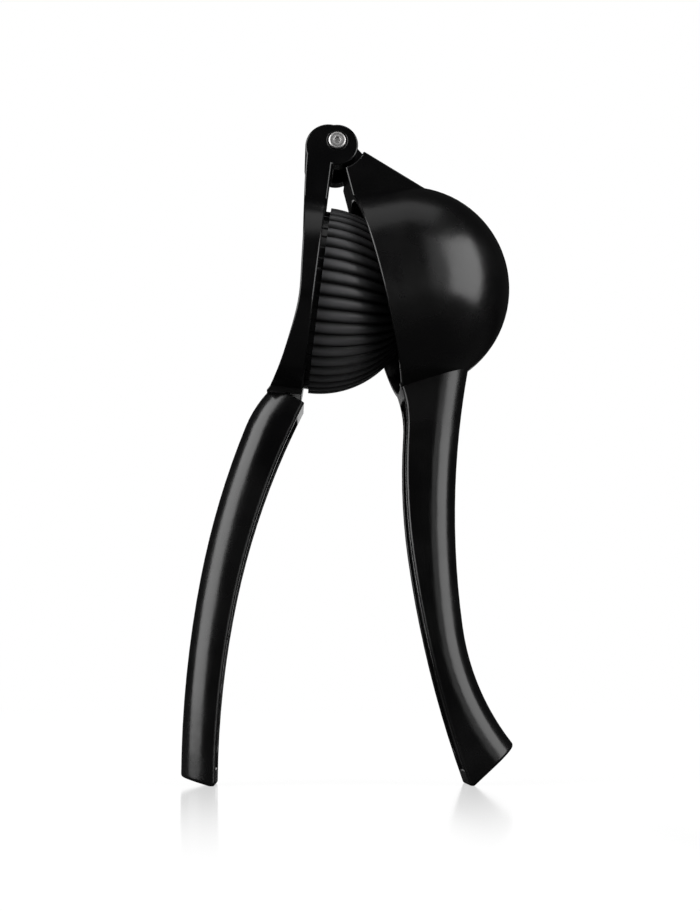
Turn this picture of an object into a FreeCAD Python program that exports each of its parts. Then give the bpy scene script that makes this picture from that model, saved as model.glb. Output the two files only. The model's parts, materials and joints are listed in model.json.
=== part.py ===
"""Hinged citrus press: a press lever with a ribbed dome, and a bowl lever with a drained cup.

Each lever is drawn in its own frame. Its origin is the hinge axis, X points the way the
dome pushes, Y runs along the hinge, and -Z runs down the lever. The lever is then leaned
about the hinge axis to the angle at which the open press stands on its two feet.
"""
import FreeCAD, Part
import math
import os

from FreeCAD import Vector

# Driving sizes, in millimetres and degrees.

# Stance of the open press
press_lean = 7.0
bowl_lean = -14.2
foot_flat_depth = 0.15

# Hinge
hinge_width = 26.0
tongue_width = 13.0
tongue_side_gap = 0.4
pin_radius = 2.0
pin_clearance = 0.05
head_radius = 2.9
head_height = 1.6
head_sink = 0.9
head_side_gap = 0.3
head_edge = 0.5
seat_gap = 0.02
screw_radius = 1.25
screw_length = 10.0
thread_gap = 0.02
socket_across_flats = 2.4
socket_depth = 1.1
ear_radius = 7.0
ear_centre_x = 0.2
ear_centre_z = -1.4
tongue_radius = 5.2
tongue_end_gap = 1.0
neck_arc_radius = 9.6

# Press head and ribbed dome
cup_distance = 52.4
press_face_x = -0.9
press_ring_radius = 34.6
dome_radius = 31.2
dome_collar_height = 1.8
dome_collar_step = 1.2
dome_wall = 3.0
rib_count = 45
groove_half_width = 1.45
groove_depth_base = 1.25
groove_depth_middle = 0.95
groove_end_angle = 76.0

# Bowl
rim_face_x = 0.4
bowl_centre_x = 11.5
bowl_radius = 34.6
bowl_wall = 2.4
rim_radius = 35.4
rim_wall = 2.2
drain_radius = 1.4
drain_ring_radii = (5.0, 10.0)
drain_ring_counts = (6, 12)

# Handles
handle_half_width = 11.0
handle_crown = 10.0
handle_corner = 1.2
recess_depth = 0.9
recess_border = 2.6
recess_start = 5.0
recess_stop = 6.0

# Back outline of the press head, from the ear down to the handle root
press_back = [(-9.6, -6.0), (-9.0, -16.3), (-7.1, -35.5), (-6.1, -49.5),
              (-5.6, -60.1), (-7.0, -70.7), (-9.8, -81.3), (-12.6, -87.0)]
# Inner face line and crown line of each handle: where it starts, how it leans there, and
# the ends of the smooth arcs that follow
press_inner_line = ((0.2, -89.5), -19.4, [(-6.1, -110.0), (-13.7, -155.0), (-12.1, -216.1)])
press_crown_line = ((-11.3, -84.5), -38.0, [(-18.2, -98.5), (-26.2, -150.0), (-23.8, -214.2)])
bowl_inner_line = ((0.1, -84.5), 7.0, [(-1.4, -100.0), (-10.1, -140.0), (-10.7, -217.5)])
bowl_crown_line = ((24.4, -84.5), -24.8, [(14.2, -109.6), (0.8, -167.0), (7.2, -208.0)])

# Sizes that follow from the ones above
half_hinge = hinge_width / 2
half_tongue = tongue_width / 2
slot_half = half_tongue + tongue_side_gap
slot_radius = tongue_radius + tongue_end_gap
hole_radius = pin_radius + pin_clearance
seat_radius = head_radius + head_side_gap
seat_y = half_hinge - head_sink
bowl_inner_radius = bowl_radius - bowl_wall
rim_inner_radius = rim_radius - rim_wall
dome_centre_x = press_face_x + dome_collar_height
reach = 2 * press_ring_radius


def point(x, z, y=0.0):
    """A point of the side view, at a given distance along the hinge."""
    return Vector(x, y, z)


def line(a, b):
    return Part.LineSegment(a, b).toShape()


def arc(a, through, b):
    return Part.Arc(a, through, b).toShape()


def spline(points):
    """A smooth edge through a few points of the side view."""
    curve = Part.BSplineCurve()
    curve.interpolate([point(x, z) for x, z in points])
    return curve.toShape()


def along_edge(edge, share):
    """The point at a given share of an edge's length."""
    return edge.valueAt(edge.getParameterByLength(edge.Length * share))


def prism(edges, half_width):
    """A side outline given the same thickness to both sides of the middle plane."""
    face = Part.Face(Part.Wire(edges))
    face.translate(Vector(0, -half_width, 0))
    return face.extrude(Vector(0, 2 * half_width, 0))


def polygon(points, half_width):
    corners = [point(x, z) for x, z in points]
    return prism([line(a, b) for a, b in zip(corners, corners[1:] + corners[:1])], half_width)


def across(radius, length, y_start, x=0.0, z=0.0):
    """A round bar along the hinge."""
    return Part.makeCylinder(radius, length, Vector(x, y_start, z), Vector(0, 1, 0))


def turned(outline):
    """A solid turned about the axis of the cup, from (distance along the axis, radius) edges."""
    face = Part.Face(Part.Wire(outline))
    axis_point = Vector(0, 0, -cup_distance)
    return face.revolve(axis_point, Vector(1, 0, 0), 360)


def on_axis(x, radius):
    """A point at a given distance from the cup's axis, on its lower side."""
    return Vector(x, 0, -cup_distance - radius)


def arc_run(start, lean, ends):
    """Arcs that follow each other smoothly: the first leaves start, leaning from straight down."""
    a = math.radians(lean)
    heading = point(math.sin(a), -math.cos(a))
    here = point(*start)
    edges = []
    for x, z in ends:
        there = point(x, z)
        chord = there - here
        across_heading = heading.cross(Vector(0, 1, 0))
        radius = chord.Length**2 / (2 * chord.dot(across_heading))
        centre = here + across_heading * radius
        middle = ((here + there) * 0.5 - centre).normalize() * abs(radius) + centre
        edges.append(arc(here, middle, there))
        out = (there - centre).cross(Vector(0, 1, 0)).normalize()
        heading = out if radius > 0 else out * -1
        heading = heading if heading.dot(chord) > 0 else heading * -1
        here = there
    return edges


def long_edges(shape, guides):
    """The edges of a shape that run along the guide edges, on both side faces."""
    found = []
    for edge in shape.Edges:
        span = edge.LastParameter - edge.FirstParameter
        points = [edge.valueAt(edge.FirstParameter + span * share) for share in (0.1, 0.5, 0.9)]
        beside = all(abs(abs(p.y) - handle_half_width) < 0.01
                     and min(g.distToShape(Part.Vertex(point(p.x, p.z)))[0] for g in guides) < 0.01
                     for p in points)
        if beside:
            found.append(edge)
    return found


def band(edge, depth):
    """Cutter that sinks the stretch of handle face above an arc by a given depth."""
    centre = edge.Curve.Center
    stretch = []
    for share in (0.0, 0.5, 1.0):
        p = edge.valueAt(edge.FirstParameter + share * (edge.LastParameter - edge.FirstParameter))
        stretch.append(p)
    outer = [p + (p - centre).normalize() * depth for p in stretch]
    inner = [p - (p - centre).normalize() * depth for p in stretch]
    outline = [arc(*outer), line(outer[2], inner[2]), arc(*inner), line(inner[0], outer[0])]
    return prism(outline, handle_half_width - recess_border)


def handle(inner, crown):
    """A handle with a rounded crown, softened edges and a shallow panel in its inner face."""
    root = crown[0].valueAt(crown[0].FirstParameter)
    top = inner[0].valueAt(inner[0].FirstParameter)
    toe = crown[-1].valueAt(crown[-1].LastParameter)
    heel = inner[-1].valueAt(inner[-1].LastParameter)
    body = prism(inner + [line(heel, toe)] + crown[::-1] + [line(root, top)], handle_half_width)
    body = body.makeFillet(handle_crown, long_edges(body, crown))
    sole = line(heel, toe)
    middle = (heel + toe) * 0.5
    soft = long_edges(body, inner)
    for edge in body.Edges:
        points = [edge.valueAt(q) for q in (edge.FirstParameter, edge.LastParameter)]
        flat = all(abs((p - middle).dot(sole.tangentAt(0.0).cross(Vector(0, 1, 0)))) < 0.01 for p in points)
        if flat and not any(edge.isSame(e) for e in soft):
            soft.append(edge)
    body = body.makeFillet(handle_corner, soft)
    first, last = inner[0], inner[-1]
    start = first.FirstParameter + recess_start / first.Curve.Radius
    stop = last.LastParameter - recess_stop / last.Curve.Radius
    upper = first.Curve.toShape(start, first.LastParameter)
    lower = last.Curve.toShape(last.FirstParameter, stop)
    for edge in [upper] + inner[1:-1] + [lower]:
        body = body.cut(band(edge, recess_depth))
    return body


def press_plate():
    """Flat-faced head of the press lever: hinge block and round plate, with its shaped back."""
    top = point(ear_centre_x - 2.0, ear_centre_z + math.sqrt(ear_radius**2 - 2.0**2))
    low = point(press_face_x, ear_centre_z - math.sqrt(ear_radius**2 - (press_face_x - ear_centre_x)**2))
    back = spline(press_back[::-1])
    last = along_edge(back, 0.0)
    first = along_edge(back, 1.0)
    shoulder = point(first.x + 1.6, ear_centre_z + 4.6)
    bottom = point(press_face_x, last.z)
    outline = [
        arc(first, shoulder, top),
        arc(top, point(ear_centre_x + ear_radius, ear_centre_z), low),
        line(low, bottom),
        line(bottom, last),
        back,
    ]
    side_view = prism(outline, press_ring_radius)
    disc = Part.makeCylinder(press_ring_radius, reach, Vector(-reach / 2, 0, -cup_distance), Vector(1, 0, 0))
    strip = Part.makeBox(reach, hinge_width, cup_distance + reach,
                         Vector(-reach / 2, -half_hinge, -cup_distance))
    root = Part.makeBox(reach, 2 * handle_half_width, reach,
                        Vector(-reach / 2, -handle_half_width, -cup_distance - reach))
    return side_view.common(disc.fuse([strip, root]))


def dome():
    """Hollow pressing dome on a short collar."""
    collar = dome_radius - dome_collar_step
    tip = on_axis(dome_centre_x + dome_radius, 0)
    slant = math.sqrt(0.5) * dome_radius
    outline = [
        line(on_axis(press_face_x - 2.0, 0), on_axis(press_face_x - 2.0, collar)),
        line(on_axis(press_face_x - 2.0, collar), on_axis(dome_centre_x, collar)),
        line(on_axis(dome_centre_x, collar), on_axis(dome_centre_x, dome_radius)),
        arc(on_axis(dome_centre_x, dome_radius), on_axis(dome_centre_x + slant, slant), tip),
        line(tip, on_axis(press_face_x - 2.0, 0)),
    ]
    return turned(outline)


def dome_grooves():
    """Cutters for the V grooves that part the ribs, one along each meridian."""
    def below(angle, depth):
        radius = dome_radius - depth
        a = math.radians(angle)
        return Vector(dome_centre_x + radius * math.sin(a), 0, -cup_distance - radius * math.cos(a))

    path = arc(below(0, groove_depth_base), below(45, groove_depth_middle), below(groove_end_angle, 0))
    root = below(0, groove_depth_base)
    centre = path.Curve.Center
    outward = (root - centre).normalize()
    lift = 2 * groove_depth_base
    half = groove_half_width * lift / groove_depth_base
    wedge = Part.makePolygon([root, root + outward * lift + Vector(0, half, 0),
                              root + outward * lift - Vector(0, half, 0), root])
    sweep = -math.degrees((root - centre).getAngle(below(groove_end_angle, 0) - centre)) - 8
    cutter = Part.Face(wedge).revolve(centre, Vector(0, 1, 0), sweep)
    start = cutter.copy()
    start.rotate(centre, Vector(0, 1, 0), 4)
    cutters = []
    for k in range(rib_count):
        one = start.copy()
        one.rotate(Vector(0, 0, -cup_distance), Vector(1, 0, 0), 360.0 * k / rib_count)
        cutters.append(one)
    return cutters


def back_hollow():
    """Open space behind the dome."""
    inner = dome_radius - dome_wall
    slant = math.sqrt(0.5) * inner
    tip = on_axis(dome_centre_x + inner, 0)
    outline = [
        line(on_axis(-reach, 0), on_axis(-reach, inner)),
        line(on_axis(-reach, inner), on_axis(dome_centre_x, inner)),
        arc(on_axis(dome_centre_x, inner), on_axis(dome_centre_x + slant, slant), tip),
        line(tip, on_axis(-reach, 0)),
    ]
    return turned(outline)


def fork_slot():
    """Room between the ears for the tongue."""
    ring = across(slot_radius, 2 * slot_half, -slot_half)
    front = Part.makeBox(reach, 2 * slot_half, 2 * neck_arc_radius, Vector(0, -slot_half, -neck_arc_radius))
    return ring.fuse(front)


def press_lever():
    body = press_plate().fuse(handle(arc_run(*press_inner_line), arc_run(*press_crown_line)))
    body = body.fuse(dome().cut(dome_grooves()))
    cuts = [
        back_hollow(),
        fork_slot(),
        across(hole_radius, hinge_width, -half_hinge),
        across(seat_radius, head_sink, -half_hinge),
        across(seat_radius, head_sink, seat_y),
    ]
    return body.cut(cuts)


def bowl_outside():
    slant = math.sqrt(0.5) * bowl_radius
    tip = on_axis(bowl_centre_x + bowl_radius, 0)
    outline = [
        line(on_axis(rim_face_x, 0), on_axis(rim_face_x, rim_radius)),
        line(on_axis(rim_face_x, rim_radius), on_axis(bowl_centre_x, bowl_radius)),
        arc(on_axis(bowl_centre_x, bowl_radius), on_axis(bowl_centre_x + slant, slant), tip),
        line(tip, on_axis(rim_face_x, 0)),
    ]
    return turned(outline)


def bowl_inside():
    slant = math.sqrt(0.5) * bowl_inner_radius
    tip = on_axis(bowl_centre_x + bowl_inner_radius, 0)
    start = rim_face_x - bowl_radius
    outline = [
        line(on_axis(start, 0), on_axis(start, rim_inner_radius)),
        line(on_axis(start, rim_inner_radius), on_axis(rim_face_x, rim_inner_radius)),
        line(on_axis(rim_face_x, rim_inner_radius), on_axis(bowl_centre_x, bowl_inner_radius)),
        arc(on_axis(bowl_centre_x, bowl_inner_radius), on_axis(bowl_centre_x + slant, slant), tip),
        line(tip, on_axis(start, 0)),
    ]
    return turned(outline)


def neck():
    """Gusset from the bowl up to the hinge, hollowed round the ears of the press lever."""
    ridge_top = (neck_arc_radius * 0.78, -neck_arc_radius * 0.56)
    outline = [(rim_face_x, 0.0), (ridge_top[0] - 5.3, 0.0), ridge_top, (32.0, -30.7), (26.0, -cup_distance),
               (rim_face_x, -cup_distance)]
    block = polygon(outline, half_hinge)
    return block.cut(across(neck_arc_radius, hinge_width, -half_hinge))


def tongue():
    """Middle knuckle of the hinge and the web that joins it to the neck."""
    eye = across(tongue_radius, tongue_width, -half_tongue)
    web = polygon([(rim_face_x, 0.0), (tongue_radius * 0.7, tongue_radius * 0.7),
                   (neck_arc_radius * 0.85, -neck_arc_radius * 0.5),
                   (neck_arc_radius, -neck_arc_radius * 1.4),
                   (rim_face_x, -neck_arc_radius * 1.4)], half_tongue)
    return eye.fuse(web)


def drain_holes():
    """Holes through the bottom of the bowl: one in the middle and two rings."""
    length = bowl_radius
    start = bowl_centre_x + bowl_inner_radius / 2
    places = [(0.0, 0.0)]
    for radius, count in zip(drain_ring_radii, drain_ring_counts):
        for k in range(count):
            a = 2 * math.pi * k / count
            places.append((radius * math.cos(a), radius * math.sin(a)))
    return [Part.makeCylinder(drain_radius, length, Vector(start, y, z - cup_distance), Vector(1, 0, 0))
            for y, z in places]


def bowl_lever():
    body = bowl_outside().fuse(neck()).fuse(handle(arc_run(*bowl_inner_line), arc_run(*bowl_crown_line)))
    body = body.cut(bowl_inside()).fuse(tongue())
    return body.cut(drain_holes() + [across(hole_radius, tongue_width, -half_tongue)])


def softened_head(y_face, outward):
    """Low round head with a broken outer edge, standing on the face at y_face."""
    head = Part.makeCylinder(head_radius, head_height, Vector(0, y_face, 0), Vector(0, outward, 0))
    outer = y_face + outward * head_height
    rim = [e for e in head.Edges if abs(e.CenterOfMass.y - outer) < 1e-6 and e.Curve.TypeId == "Part::GeomCircle"]
    return head.makeChamfer(head_edge, rim)


def hinge_barrel():
    """Sleeve that the tongue turns on, with a head sunk in the far ear."""
    start = -seat_y + seat_gap
    sleeve = across(pin_radius, 2 * seat_y, start)
    head = softened_head(seat_y + seat_gap, 1)
    bore = across(screw_radius + thread_gap, screw_length + 1.0, start)
    return sleeve.fuse(head).removeSplitter().cut(bore)


def hinge_screw():
    """Socket screw that closes the sleeve at the near ear."""
    face = -seat_y
    head = softened_head(face, -1)
    shank = across(screw_radius, screw_length, face)
    hexagon = Part.makePolygon([Vector(socket_across_flats / math.sqrt(3) * math.cos(math.radians(60 * k)),
                                       face - head_height,
                                       socket_across_flats / math.sqrt(3) * math.sin(math.radians(60 * k)))
                                for k in range(7)])
    socket = Part.Face(hexagon).extrude(Vector(0, socket_depth, 0))
    return head.fuse(shank).removeSplitter().cut(socket)


def leaned(shape, angle):
    shape.rotate(Vector(0, 0, 0), Vector(0, 1, 0), angle)
    return shape


def main():
    pieces = {
        "press_lever": leaned(press_lever(), press_lean),
        "bowl_lever": leaned(bowl_lever(), bowl_lean),
        "hinge_barrel": leaned(hinge_barrel(), press_lean),
        "hinge_screw": leaned(hinge_screw(), press_lean),
    }
    box = Part.makeCompound(list(pieces.values())).optimalBoundingBox(False)
    shift = Vector(-(box.XMin + box.XMax) / 2, 0, -box.ZMin - foot_flat_depth)
    ground = Part.makeBox(4 * reach, 2 * reach, reach, Vector(-2 * reach, -reach, -reach))
    os.makedirs("parts", exist_ok=True)
    for name, shape in pieces.items():
        shape.translate(shift)
        if name.endswith("lever"):
            shape = shape.cut(ground)
        solids = shape.Solids
        print(name, "solids", len(solids), "valid", shape.isValid(), "volume", round(shape.Volume, 1))
        solids[0].exportStep("parts/%s.step" % name)
    print("hinge axis at", [round(v, 3) for v in shift])


main()
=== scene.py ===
"""Studio picture of a hinged citrus press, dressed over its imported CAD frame.

Every length is in metres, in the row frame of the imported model: +Z up, +X from the press lever
to the bowl lever, and +Y along the hinge pin.
"""

from __future__ import annotations

import json
import logging
import math
from dataclasses import dataclass, field
from enum import Enum

import bmesh
import bpy
from mathutils import Matrix, Vector


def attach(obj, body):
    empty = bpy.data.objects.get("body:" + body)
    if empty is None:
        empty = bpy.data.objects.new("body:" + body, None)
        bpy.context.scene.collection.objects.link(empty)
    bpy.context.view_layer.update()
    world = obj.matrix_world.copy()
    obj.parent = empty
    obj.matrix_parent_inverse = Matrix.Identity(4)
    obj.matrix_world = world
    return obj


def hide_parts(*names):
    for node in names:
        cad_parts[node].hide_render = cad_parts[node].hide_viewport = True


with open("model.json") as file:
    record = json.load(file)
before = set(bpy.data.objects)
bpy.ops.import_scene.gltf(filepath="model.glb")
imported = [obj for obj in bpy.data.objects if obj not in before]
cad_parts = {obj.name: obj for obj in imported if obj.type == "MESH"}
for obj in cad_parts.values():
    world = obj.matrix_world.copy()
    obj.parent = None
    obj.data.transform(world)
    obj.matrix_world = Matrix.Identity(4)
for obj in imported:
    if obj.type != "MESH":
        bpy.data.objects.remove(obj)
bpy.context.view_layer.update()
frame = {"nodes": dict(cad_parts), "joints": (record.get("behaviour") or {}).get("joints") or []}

logging.basicConfig(level=logging.INFO, format="%(levelname)s %(message)s")
log = logging.getLogger("citrus_press")

MM = 0.001
PRESS_BODY = "press_body"
BOWL_BODY = "bowl_body"
WHITE = (1.0, 1.0, 1.0, 1.0)
WAVE_PERIOD = math.pi / 10  # width of one ring of the Wave texture at scale 1


class Side(Enum):
    """Which end of the hinge pin a head stands on, as the sign of its place along the pin."""

    NEAR = -1
    FAR = 1


class Socket:
    """An output socket whose arithmetic adds Math nodes to its tree."""

    def __init__(self, graph: Graph, output: bpy.types.NodeSocket) -> None:
        """Wraps an output.

        Args:
            graph: the graph that the output belongs to.
            output: the output.
        """
        self.graph = graph
        self.output = output

    def math(self, operation: str, *operands: Socket | float) -> Socket:
        """Adds a Math node.

        Args:
            operation: what the node does.
            operands: its inputs, in order.

        Returns: the node's result.
        """
        return self.graph.node("ShaderNodeMath", {"operation": operation}, dict(enumerate(operands)))

    def __add__(self, other: Socket | float) -> Socket:
        """Returns: this value plus another."""
        return self.math("ADD", self, other)

    def __radd__(self, other: float) -> Socket:
        """Returns: a number plus this value."""
        return self.math("ADD", other, self)

    def __sub__(self, other: Socket | float) -> Socket:
        """Returns: this value less another."""
        return self.math("SUBTRACT", self, other)

    def __rsub__(self, other: float) -> Socket:
        """Returns: a number less this value."""
        return self.math("SUBTRACT", other, self)

    def __mul__(self, other: Socket | float) -> Socket:
        """Returns: this value times another."""
        return self.math("MULTIPLY", self, other)

    def __rmul__(self, other: float) -> Socket:
        """Returns: a number times this value."""
        return self.math("MULTIPLY", other, self)

    def __neg__(self) -> Socket:
        """Returns: this value with its sign changed."""
        return self.math("MULTIPLY", self, -1.0)

    def __abs__(self) -> Socket:
        """Returns: this value without its sign."""
        return self.math("ABSOLUTE", self)

    def minimum(self, other: Socket | float) -> Socket:
        """Returns: the smaller of this value and another."""
        return self.math("MINIMUM", self, other)

    def maximum(self, other: Socket | float) -> Socket:
        """Returns: the larger of this value and another."""
        return self.math("MAXIMUM", self, other)

    def clamp(self) -> Socket:
        """Returns: this value, kept between 0 and 1."""
        return self.graph.node("ShaderNodeMath", {"operation": "ADD", "use_clamp": True}, {0: self, 1: 0.0})

    def between(self, low: float, high: float) -> Socket:
        """Spreads a value from the range 0 to 1.

        Args:
            low: result where this value is 0.
            high: result where this value is 1.

        Returns: the spread value.
        """
        return self * (high - low) + low

    def sibling(self, name: str) -> Socket:
        """Returns: another output of the same node, by its name."""
        return Socket(self.graph, self.output.node.outputs[name])


class Graph:
    """Builder for the node tree of a material or a world."""

    def __init__(self, tree: bpy.types.NodeTree) -> None:
        """Empties a node tree.

        Args:
            tree: the tree to build in.
        """
        self.tree = tree
        self.tree.nodes.clear()

    def node(self, kind: str, settings: dict | None = None, inputs: dict | None = None,
             output: int | str = 0) -> Socket | None:
        """Adds any node.

        Args:
            kind: the node's type name.
            settings: attributes of the node, by name, set before its inputs.
            inputs: values or sockets, by input name or index.
            output: name or index of the output to return.

        Returns: the chosen output of the new node, or nothing where it has none.
        """
        made = self.tree.nodes.new(kind)
        for name, value in (settings or {}).items():
            setattr(made, name, value)
        for name, value in (inputs or {}).items():
            if isinstance(value, Socket):
                self.tree.links.new(value.output, made.inputs[name])
            else:
                made.inputs[name].default_value = value
        return Socket(self, made.outputs[output]) if made.outputs else None

    def position(self) -> Socket:
        """Returns: object coordinates, in metres."""
        return self.node("ShaderNodeTexCoord", output="Object")

    def noise(self, scale: float, detail: float) -> Socket:
        """Adds noise over the surface.

        Args:
            scale: about how many blobs fit in a metre.
            detail: octaves of finer noise.

        Returns: the noise, from 0 to 1.
        """
        return self.node("ShaderNodeTexNoise", {"noise_dimensions": "3D"},
                         {"Vector": self.position(), "Scale": scale, "Detail": detail}, "Fac")

    def ramp(self, value: Socket, low: float, high: float) -> Socket:
        """Eases a value from 0 to 1.

        Args:
            value: the value.
            low: where the result leaves 0.
            high: where the result reaches 1.

        Returns: the eased value.
        """
        return self.node("ShaderNodeMapRange", {"interpolation_type": "SMOOTHSTEP"},
                         {"Value": value, "From Min": low, "From Max": high})

    def blend(self, factor: Socket, low: tuple, high: tuple) -> Socket:
        """Mixes two colours.

        Args:
            factor: how much of the second colour.
            low: red, green and blue where the factor is 0.
            high: red, green and blue where the factor is 1.

        Returns: the mixed colour.
        """
        return self.node("ShaderNodeMix", {"data_type": "RGBA"},
                         {0: factor, 6: (*low, 1.0), 7: (*high, 1.0)}, 2)

    def bump(self, height: Socket, distance: float, normal: Socket | None = None) -> Socket:
        """Raises the surface by a pattern.

        Args:
            height: the pattern.
            distance: how far a height of 1 stands out.
            normal: the normal of a coarser bump that this one rides on.

        Returns: the new normal.
        """
        inputs = {"Strength": 1.0, "Distance": distance, "Height": height}
        if normal:
            inputs["Normal"] = normal
        return self.node("ShaderNodeBump", None, inputs, "Normal")

    def surface(self, shader: Socket) -> None:
        """Sends a shader to the material's output.

        Args:
            shader: the finished shader.
        """
        self.node("ShaderNodeOutputMaterial", None, {"Surface": shader})


def blank_material(name: str) -> tuple[bpy.types.Material, Graph]:
    """Makes a material with an empty node tree.

    Args:
        name: the material's name.

    Returns: the material and the graph that fills it.
    """
    made = bpy.data.materials.new(name)
    made.use_nodes = True
    return made, Graph(made.node_tree)


@dataclass(frozen=True)
class CoatedCasting:
    """Satin black coating over a die casting, with flow ripples, fine grain and uneven gloss."""

    name: str
    colour: tuple = (0.0018, 0.0018, 0.0020)
    dusty: tuple = (0.0040, 0.0039, 0.0040)
    roughness: float = 0.25
    roughness_spread: float = 0.05
    patch_scale: float = 45.0
    patch_range: tuple = (0.35, 0.70)
    speck_scale: float = 900.0
    speck_range: tuple = (0.66, 0.80)
    speck_gloss: float = 0.15
    speck_dust: float = 0.3
    ripple_scale: float = 130.0
    ripple_height: float = 0.080 * MM
    grain_scale: float = 2600.0
    grain_height: float = 0.012 * MM

    def material(self) -> bpy.types.Material:
        """Returns: the coating."""
        made, graph = blank_material(self.name)
        patches = graph.ramp(graph.noise(self.patch_scale, 4.0), *self.patch_range)
        specks = graph.ramp(graph.noise(self.speck_scale, 2.0), *self.speck_range)
        gloss = patches * (1 - self.speck_gloss) + specks * self.speck_gloss
        dust = patches * (1 - self.speck_dust) + specks * self.speck_dust
        ripple = graph.bump(graph.noise(self.ripple_scale, 2.0), self.ripple_height)
        grain = graph.bump(graph.noise(self.grain_scale, 3.0), self.grain_height, ripple)
        graph.surface(graph.node("ShaderNodeBsdfPrincipled", None, {
            "Base Color": graph.blend(dust.clamp(), self.colour, self.dusty),
            "Roughness": gloss.between(self.roughness - self.roughness_spread,
                                       self.roughness + self.roughness_spread),
            "Normal": grain, "IOR": 1.5, "Specular IOR Level": 0.5}))
        return made


@dataclass(frozen=True)
class GroovedCoating:
    """Coating of the pressing dome, with a painted sheen of satin grey on the crowns of the ribs, and the
    coating's black in the grooves.
    """

    name: str
    centre: Vector
    lean: float
    ribs: int
    # grey painted on the rib crowns as a sheen, standing in for their highlight
    painted_sheen: tuple = (0.105, 0.105, 0.109)
    black: tuple = (0.0020, 0.0020, 0.0022)
    smoothest: float = 0.34
    roughest: float = 0.60
    groove_edge: float = 0.15
    patch_scale: float = 260.0
    patch_dust: float = 0.15
    patch_gloss: float = 0.2
    grain_scale: float = 1800.0
    grain_height: float = 0.010 * MM

    def grooves(self, graph: Graph) -> Socket:
        """Finds the grooves from the angle round the dome's axis.

        Args:
            graph: the material's graph.

        Returns: 1 along the middle of each groove, easing to 0 near the crown of each rib.
        """
        local = graph.node("ShaderNodeMapping", {"vector_type": "TEXTURE"}, {
            "Vector": graph.position(), "Location": tuple(self.centre),
            "Rotation": (0.0, self.lean, 0.0)}, "Vector")
        along = graph.node("ShaderNodeSeparateXYZ", None, {"Vector": local}, "Y")
        turn = along.math("ARCTAN2", along, -along.sibling("Z"))
        count = turn * (self.ribs / (2 * math.pi)) + float(self.ribs)
        crown = count.math("PINGPONG", count, 0.5) * 2.0
        return graph.ramp(1.0 - crown, self.groove_edge, 1.0)

    def material(self) -> bpy.types.Material:
        """Returns: the coating."""
        made, graph = blank_material(self.name)
        groove = self.grooves(graph)
        patches = graph.noise(self.patch_scale, 4.0)
        gloss = groove * (1 - self.patch_gloss) + patches * self.patch_gloss
        # base colour: painted sheen of grey on the rib crowns, easing to the coating's black in the grooves
        graph.surface(graph.node("ShaderNodeBsdfPrincipled", None, {
            "Base Color": graph.blend((groove + patches * self.patch_dust).clamp(), self.painted_sheen, self.black),
            "Roughness": gloss.between(self.smoothest, self.roughest),
            "Normal": graph.bump(graph.noise(self.grain_scale, 3.0), self.grain_height)}))
        return made


@dataclass(frozen=True)
class TurnedSteel:
    """Turned stainless steel, with shallow rings from the tool round the hinge axis and fine scratches."""

    name: str
    centre: Vector
    bright: tuple = (0.80, 0.79, 0.78)
    dull: tuple = (0.62, 0.61, 0.61)
    smoothest: float = 0.37
    roughest: float = 0.51
    ring_pitch: float = 1.005 * MM
    ring_height: float = 0.006 * MM
    waver: float = 0.6
    waver_scale: float = 1.5
    scratch_scale: float = 5200.0
    scratch_share: float = 0.5

    def material(self) -> bpy.types.Material:
        """Returns: the steel."""
        made, graph = blank_material(self.name)
        place = graph.node("ShaderNodeMapping", {"vector_type": "POINT"}, {
            "Vector": graph.position(), "Location": tuple(-self.centre)}, "Vector")
        rings = graph.node("ShaderNodeTexWave", {
            "wave_type": "RINGS", "rings_direction": "Y", "wave_profile": "SIN"}, {
            "Vector": place, "Scale": WAVE_PERIOD / self.ring_pitch, "Distortion": self.waver,
            "Detail": 2.0, "Detail Scale": self.waver_scale}, "Fac")
        scratches = graph.noise(self.scratch_scale, 4.0)
        graph.surface(graph.node("ShaderNodeBsdfPrincipled", None, {
            "Base Color": graph.blend(scratches, self.dull, self.bright), "Metallic": 1.0,
            "Roughness": rings.between(self.smoothest, self.roughest),
            "Normal": graph.bump(rings + scratches * self.scratch_share, self.ring_height)}))
        return made


def piece(name: str, shape: bmesh.types.BMesh, material: bpy.types.Material, body: str,
          crease: float = math.radians(32)) -> bpy.types.Object:
    """Makes a mesh into a piece that rides on a body.

    Args:
        name: name of the new object.
        shape: its mesh, in the row frame, freed here.
        material: its finish.
        body: the CAD body that it rides on.
        crease: angle between faces above which an edge stays sharp.

    Returns: the new object.
    """
    bmesh.ops.recalc_face_normals(shape, faces=shape.faces)
    for face in shape.faces:
        face.smooth = True
    for edge in shape.edges:
        edge.smooth = len(edge.link_faces) == 2 and edge.calc_face_angle(0.0) <= crease
    made = link(name, shape)
    made.data.materials.append(material)
    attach(made, body)
    log.info("%s: %d faces on %s", name, len(made.data.polygons), body)
    return made


def link(name: str, shape: bmesh.types.BMesh) -> bpy.types.Object:
    """Puts a mesh into the scene.

    Args:
        name: name of the new object and of its mesh.
        shape: the mesh, freed here.

    Returns: the new object.
    """
    mesh = bpy.data.meshes.new(name)
    shape.to_mesh(mesh)
    shape.free()
    made = bpy.data.objects.new(name, mesh)
    bpy.context.scene.collection.objects.link(made)
    return made


def bridge(shape: bmesh.types.BMesh, rings: list[list[bmesh.types.BMVert]]) -> None:
    """Joins rings of equally many points with rows of four-sided faces.

    Args:
        shape: the mesh that holds the points.
        rings: the closed rings, in order.
    """
    for low, high in zip(rings, rings[1:]):
        for k in range(len(low)):
            n = (k + 1) % len(low)
            shape.faces.new((low[k], low[n], high[n], high[k]))


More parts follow.
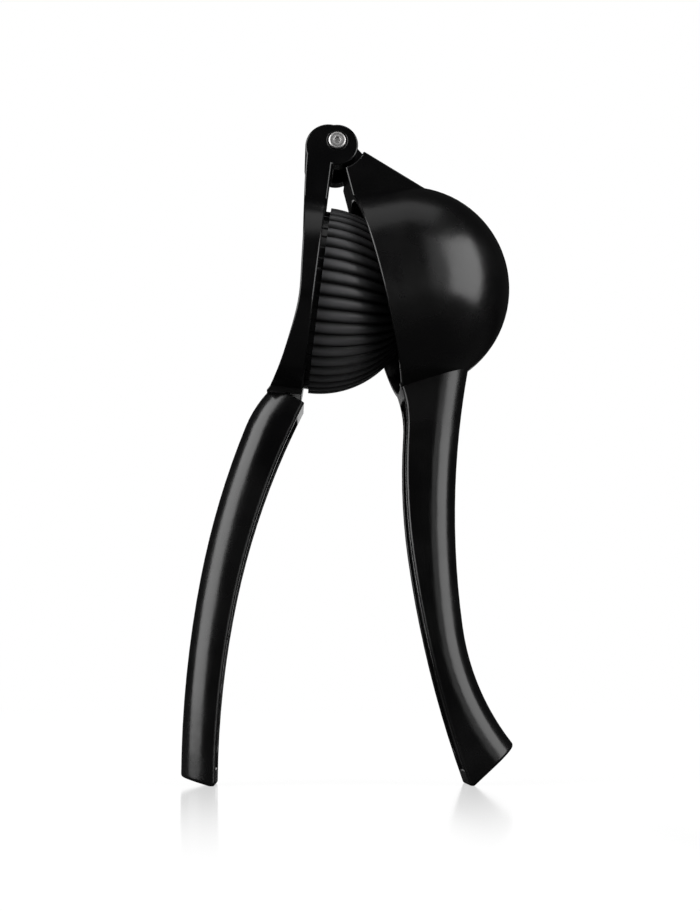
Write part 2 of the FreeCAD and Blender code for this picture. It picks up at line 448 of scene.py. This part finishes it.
@dataclass
class LeverSkin:
    """The visible surface of a lever: its solid with welded, softly broken edges."""

    node: str
    body: str
    finish: CoatedCasting
    weld: float = 0.002 * MM
    flat_angle: float = math.radians(0.3)
    edge_angle: float = math.radians(38)
    edge_radius: float = 0.42 * MM
    edge_segments: int = 2
    flat_face_weight: int = 60

    def build(self) -> bpy.types.Object:
        """Returns: the skin, in place of the CAD node."""
        shape = bmesh.new()
        shape.from_mesh(frame["nodes"][self.node].data)
        bmesh.ops.remove_doubles(shape, verts=shape.verts, dist=self.weld)
        bmesh.ops.dissolve_degenerate(shape, edges=shape.edges, dist=self.weld)
        bmesh.ops.dissolve_limit(shape, angle_limit=self.flat_angle, verts=shape.verts, edges=shape.edges)
        self.mark(shape)
        made = piece(self.node + "_skin", shape, self.finish.material(), self.body, self.edge_angle)
        self.dress(made)
        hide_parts(self.node)
        return made

    def mark(self, shape: bmesh.types.BMesh) -> None:
        """Gives a bevel weight to the outward corners, which the die leaves slightly round.

        Args:
            shape: the welded mesh.
        """
        bmesh.ops.recalc_face_normals(shape, faces=shape.faces)
        weight = shape.edges.layers.float.new("bevel_weight_edge")
        for edge in shape.edges:
            corner = len(edge.link_faces) == 2 and edge.calc_face_angle_signed(0.0) > self.edge_angle
            edge[weight] = 1.0 if corner and edge.calc_length() > self.edge_radius else 0.0

    def dress(self, made: bpy.types.Object) -> None:
        """Rounds the marked corners and evens out the normals of the broad faces.

        Args:
            made: the skin.
        """
        bevel = made.modifiers.new("edges", "BEVEL")
        bevel.width = self.edge_radius
        bevel.segments = self.edge_segments
        bevel.limit_method = "WEIGHT"
        bevel.use_clamp_overlap = False
        bevel.miter_outer = "MITER_ARC"
        normals = made.modifiers.new("normals", "WEIGHTED_NORMAL")
        normals.keep_sharp = True
        normals.weight = self.flat_face_weight


@dataclass
class RibbedDome:
    """Rounded ribs along the meridians of the pressing dome.

    Angles above the dome's base are 0 at the collar and a quarter turn at the pole.
    """

    hinge: Vector
    lean: float = math.radians(7.0)
    cup_distance: float = 52.4 * MM
    centre_x: float = 0.9 * MM
    radius: float = 31.2 * MM
    proud: float = 0.13 * MM
    collar_step: float = 1.3 * MM
    ribs: int = 45
    steps: int = 16
    rows: int = 56
    groove_base: float = 1.15 * MM
    groove_middle: float = 0.88 * MM
    groove_end: float = math.radians(76)
    last_row: float = math.radians(89)
    sharpness: float = 2.6
    crease: float = math.radians(48)

    def depth(self, angle: float) -> float:
        """Returns: the groove's depth at an angle above the dome's base."""
        share = min(angle / self.groove_end, 1.0)
        bend = 4 * self.groove_middle / self.groove_base - 2
        return self.groove_base * (1 - share) * (1 + (bend - 1) * share)

    def place(self, angle: float, turn: float, radius: float) -> Vector:
        """Finds a point of the dome.

        Args:
            angle: angle above the dome's base.
            turn: angle round the dome's axis, from the lower side.
            radius: distance from the dome's centre.

        Returns: the point, in the row frame.
        """
        out = radius * math.cos(angle)
        local = Vector((self.centre_x + radius * math.sin(angle), out * math.sin(turn),
                        -self.cup_distance - out * math.cos(turn)))
        return self.hinge + Matrix.Rotation(self.lean, 3, "Y") @ local

    def reach(self, angle: float, k: int) -> float:
        """Finds how far the ribbed surface stands from the dome's centre.

        Args:
            angle: angle above the dome's base.
            k: number of the step round the axis.

        Returns: the distance, which is least in the middle of a groove.
        """
        across = 2 * abs((k / self.steps) % 1.0 - 0.5)
        return self.radius + self.proud - self.depth(angle) * across ** self.sharpness

    def build(self) -> bpy.types.Object:
        """Returns: the ribbed surface, on the press lever's body."""
        shape = bmesh.new()
        count = self.ribs * self.steps
        turns = [2 * math.pi * k / count for k in range(count)]
        collar = self.radius - self.collar_step
        rings = [[shape.verts.new(self.place(0.0, turn, collar)) for turn in turns]]
        for row in range(self.rows):
            angle = self.last_row * row / (self.rows - 1)
            rings.append([shape.verts.new(self.place(angle, turn, self.reach(angle, k)))
                          for k, turn in enumerate(turns)])
        bridge(shape, rings)
        shape.faces.new(rings[-1])
        finish = GroovedCoating("dome_coating", self.place(0.0, 0.0, 0.0), self.lean, self.ribs)
        made = piece("press_dome_ribs", shape, finish.material(), PRESS_BODY, self.crease)
        return made


@dataclass
class PinHead:
    """Round head at one end of the hinge pin, with the half of the pin behind it."""

    node: str
    side: Side
    hinge: Vector
    finish: TurnedSteel
    face: float = 12.1 * MM
    radius: float = 2.9 * MM
    height: float = 1.6 * MM
    rounding: float = 0.55 * MM
    rounding_steps: int = 6
    lip: float = 0.1 * MM
    shank_radius: float = 2.0 * MM
    shank_end: float = 0.2 * MM
    segments: int = 72
    socket_flats: float = 2.1 * MM
    socket_depth: float = 0.7 * MM
    socket_break: float = 0.05 * MM
    socket_flare: float = 1.06
    dimple_radius: float = 0.90 * MM
    dimple_floor: float = 0.55 * MM
    dimple_depth: float = 0.15 * MM

    @property
    def top(self) -> float:
        """Returns: distance along the pin from the hinge's middle to the head's outer face."""
        return self.face + self.height

    def profile(self) -> list[tuple[float, float]]:
        """Returns: (radius, distance along the pin) pairs from the shank to the outer face."""
        points = [(self.shank_radius, self.shank_end), (self.shank_radius, self.face),
                  (self.radius - self.lip, self.face), (self.radius, self.face + self.lip)]
        for step in range(self.rounding_steps + 1):
            a = math.pi / 2 * step / self.rounding_steps
            points.append((self.radius - self.rounding * (1 - math.cos(a)),
                           self.top - self.rounding * (1 - math.sin(a))))
        return points

    def hexagon(self, k: int) -> float:
        """Returns: the socket's radius in the direction of segment k."""
        a = (2 * math.pi * k / self.segments) % (math.pi / 3) - math.pi / 6
        return self.socket_flats / 2 / math.cos(a)

    def ring(self, shape: bmesh.types.BMesh, radii: list[float], along: float) -> list[bmesh.types.BMVert]:
        """Adds a closed ring of points round the pin.

        Args:
            shape: the mesh to add to.
            radii: the radius at each segment.
            along: distance along the pin from the hinge's middle.

        Returns: the points.
        """
        made = []
        for k, radius in enumerate(radii):
            a = 2 * math.pi * k / self.segments
            out = Vector((radius * math.cos(a), self.side.value * along, radius * math.sin(a)))
            made.append(shape.verts.new(self.hinge + out))
        return made

    def recess(self) -> list[tuple[list[float], float]]:
        """Returns: radii and distance of each ring of the key socket, or of the plain head's dimple."""
        if self.side is Side.NEAR:
            hexagon = [self.hexagon(k) for k in range(self.segments)]
            flared = [radius * self.socket_flare for radius in hexagon]
            return [(flared, self.top), (hexagon, self.top - self.socket_break),
                    (hexagon, self.top - self.socket_depth)]
        return [([self.dimple_radius] * self.segments, self.top),
                ([self.dimple_floor] * self.segments, self.top - self.dimple_depth)]

    def build(self) -> bpy.types.Object:
        """Returns: the head, in place of the CAD node."""
        shape = bmesh.new()
        outline = [([radius] * self.segments, along) for radius, along in self.profile()]
        rings = [self.ring(shape, radii, along) for radii, along in outline + self.recess()]
        bridge(shape, rings)
        shape.faces.new(rings[0])
        shape.faces.new(rings[-1])
        made = piece(self.node + "_turned", shape, self.finish.material(), PRESS_BODY)
        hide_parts(self.node)
        return made


@dataclass
class Softbox:
    """An area lamp that faces the object. Azimuth 0 is the camera's side and 90 the right."""

    name: str
    azimuth: float
    elevation: float
    distance: float
    width: float
    height: float
    radiance: float
    target: Vector = field(default_factory=lambda: Vector((0.0, 0.0, 0.12)))

    def build(self) -> bpy.types.Object:
        """Returns: the lamp."""
        light = bpy.data.lights.new(self.name, "AREA")
        light.shape = "RECTANGLE"
        light.size, light.size_y = self.width, self.height
        light.energy = self.radiance * math.pi * self.width * self.height
        lamp = bpy.data.objects.new(self.name, light)
        bpy.context.scene.collection.objects.link(lamp)
        a, e = math.radians(self.azimuth), math.radians(self.elevation)
        out = Vector((math.sin(a) * math.cos(e), -math.cos(a) * math.cos(e), math.sin(e)))
        lamp.location = self.target + out * self.distance
        lamp.rotation_euler = (-out).to_track_quat("-Z", "Y").to_euler()
        return lamp


@dataclass
class Sweep:
    """Pale floor that keeps a soft shadow, and mirrors the feet faintly towards the camera.

    The reflection lies in a strip in front of each foot. Pairs are the start and end of a fade.
    """

    size: float = 8.0
    feet: tuple = (-0.044, 0.039)
    matt: tuple = (0.07, 0.07, 0.07, 1.0)
    glow: float = 0.965
    glow_fade: tuple = (0.2, 0.6)
    reflection: float = 0.36
    front_fade: tuple = (-0.30, 0.0)
    back_fade: tuple = (0.02, 0.12)
    side_fade: tuple = (0.014, 0.034)
    blur: float = 0.10

    def mirrored(self, graph: Graph) -> Socket:
        """Finds where the floor mirrors.

        Args:
            graph: the material's graph.

        Returns: 1 at the feet, easing to 0 round their strips.
        """
        x = graph.node("ShaderNodeSeparateXYZ", None, {"Vector": graph.position()}, "X")
        y = x.sibling("Y")
        left, right = (abs(x - foot) for foot in self.feet)
        length = graph.ramp(y, *self.front_fade) * (1.0 - graph.ramp(y, *self.back_fade))
        return length * (1.0 - graph.ramp(left.minimum(right), *self.side_fade))

    def material(self) -> bpy.types.Material:
        """Returns: the floor's finish."""
        made, graph = blank_material("pale_floor")
        seen = graph.node("ShaderNodeLightPath", output="Is Camera Ray")
        away = graph.node("ShaderNodeVectorMath", {"operation": "LENGTH"}, {0: graph.position()}, "Value")
        level = graph.ramp(away, *self.glow_fade).between(self.glow, 1.0)
        glow = graph.node("ShaderNodeEmission", None, {"Color": seen * level, "Strength": 1.0})
        matt = graph.node("ShaderNodeBsdfDiffuse", None, {"Color": self.matt})
        shine = graph.node("ShaderNodeBsdfAnisotropic", None, {"Color": WHITE, "Roughness": self.blur})
        plain = graph.node("ShaderNodeAddShader", None, {0: glow, 1: matt})
        graph.surface(graph.node("ShaderNodeMixShader", None, {
            "Fac": seen * self.mirrored(graph) * self.reflection, 1: plain, 2: shine}))
        return made

    def build(self) -> bpy.types.Object:
        """Returns: the floor."""
        shape = bmesh.new()
        bmesh.ops.create_grid(shape, x_segments=1, y_segments=1, size=self.size / 2)
        made = link("floor", shape)
        made.data.materials.append(self.material())
        return made


@dataclass
class Studio:
    """White surroundings, soft lamps and the photograph's camera."""

    yaw: float = math.radians(2.163)
    pitch: float = math.radians(8.497)
    distance: float = 0.550
    target: Vector = field(default_factory=lambda: Vector((0.00032, 0.0, 0.1077)))
    lens: float = 65.2
    sensor: float = 36.0
    clip: tuple = (0.01, 50.0)
    room_light: float = 0.018
    window_height: float = 0.03
    window_edge: tuple = (0.970, 0.988)

    def camera(self) -> bpy.types.Object:
        """Returns: the camera, low in front of the object and looking slightly up."""
        data = bpy.data.cameras.new("camera")
        data.lens, data.sensor_width = self.lens, self.sensor
        data.clip_start, data.clip_end = self.clip
        made = bpy.data.objects.new("camera", data)
        bpy.context.scene.collection.objects.link(made)
        ahead = Vector((math.sin(self.yaw) * math.cos(self.pitch),
                        math.cos(self.yaw) * math.cos(self.pitch), math.sin(self.pitch)))
        right = Vector((math.cos(self.yaw), -math.sin(self.yaw), 0.0))
        turn = Matrix((right, right.cross(ahead), -ahead)).transposed().to_4x4()
        made.matrix_world = Matrix.Translation(self.target - ahead * self.distance) @ turn
        bpy.context.scene.camera = made
        return made

    def world(self) -> None:
        """Makes the surroundings: white to the camera, dim to the object but for a window behind it."""
        made = bpy.data.worlds.new("studio")
        bpy.context.scene.world = made
        made.use_nodes = True
        graph = Graph(made.node_tree)
        ahead = graph.node("ShaderNodeVectorMath", {"operation": "DOT_PRODUCT"}, {
            0: graph.node("ShaderNodeTexCoord", output="Generated"),
            1: (math.sin(self.yaw), math.cos(self.yaw), self.window_height)}, "Value")
        seen = graph.node("ShaderNodeLightPath", output="Is Camera Ray")
        window = seen.sibling("Is Glossy Ray") * graph.ramp(ahead, *self.window_edge)
        level = (seen + window).maximum(self.room_light)
        glow = graph.node("ShaderNodeBackground", None, {"Color": level, "Strength": 1.0})
        graph.node("ShaderNodeOutputWorld", None, {"Surface": glow})

    def lamps(self) -> list[Softbox]:
        """Returns: the two side softboxes, the strip that lights the ribs, and the top fill."""
        return [
            Softbox("right_softbox", azimuth=64, elevation=12, distance=0.75, width=0.56, height=0.95,
                    radiance=3.4),
            Softbox("left_softbox", azimuth=-68, elevation=14, distance=0.75, width=0.66, height=1.10,
                    radiance=4.1),
            Softbox("rib_strip", azimuth=30, elevation=5, distance=0.80, width=0.22, height=1.50,
                    radiance=0.8),
            Softbox("top_softbox", azimuth=0, elevation=82, distance=0.90, width=0.80, height=0.50,
                    radiance=0.6)]

    def build(self) -> None:
        """Makes the camera, the floor, the surroundings and the lamps."""
        self.camera()
        Sweep().build()
        self.world()
        for lamp in self.lamps():
            lamp.build()
            log.info("%s: lamp", lamp.name)


@dataclass
class CitrusPress:
    """The two levers and the hinge pin that joins them."""

    hinge: Vector
    bowl_roughness: float = 0.26

    def build(self) -> None:
        """Builds and dresses every visible piece."""
        bowl_coating = CoatedCasting("bowl_coating", roughness=self.bowl_roughness)
        LeverSkin("press_lever", PRESS_BODY, CoatedCasting("press_coating")).build()
        LeverSkin("bowl_lever", BOWL_BODY, bowl_coating).build()
        RibbedDome(self.hinge).build()
        PinHead("hinge_screw", Side.NEAR, self.hinge, TurnedSteel("screw_steel", self.hinge)).build()
        PinHead("hinge_barrel", Side.FAR, self.hinge, TurnedSteel("barrel_steel", self.hinge)).build()


def main() -> None:
    """Builds the studio and the press."""
    bpy.context.scene.view_settings.view_transform = "Standard"
    Studio().build()
    CitrusPress(Vector(frame["joints"][0]["pos_m"])).build()
    bpy.context.view_layer.update()


if __name__ == "__main__":
    main()
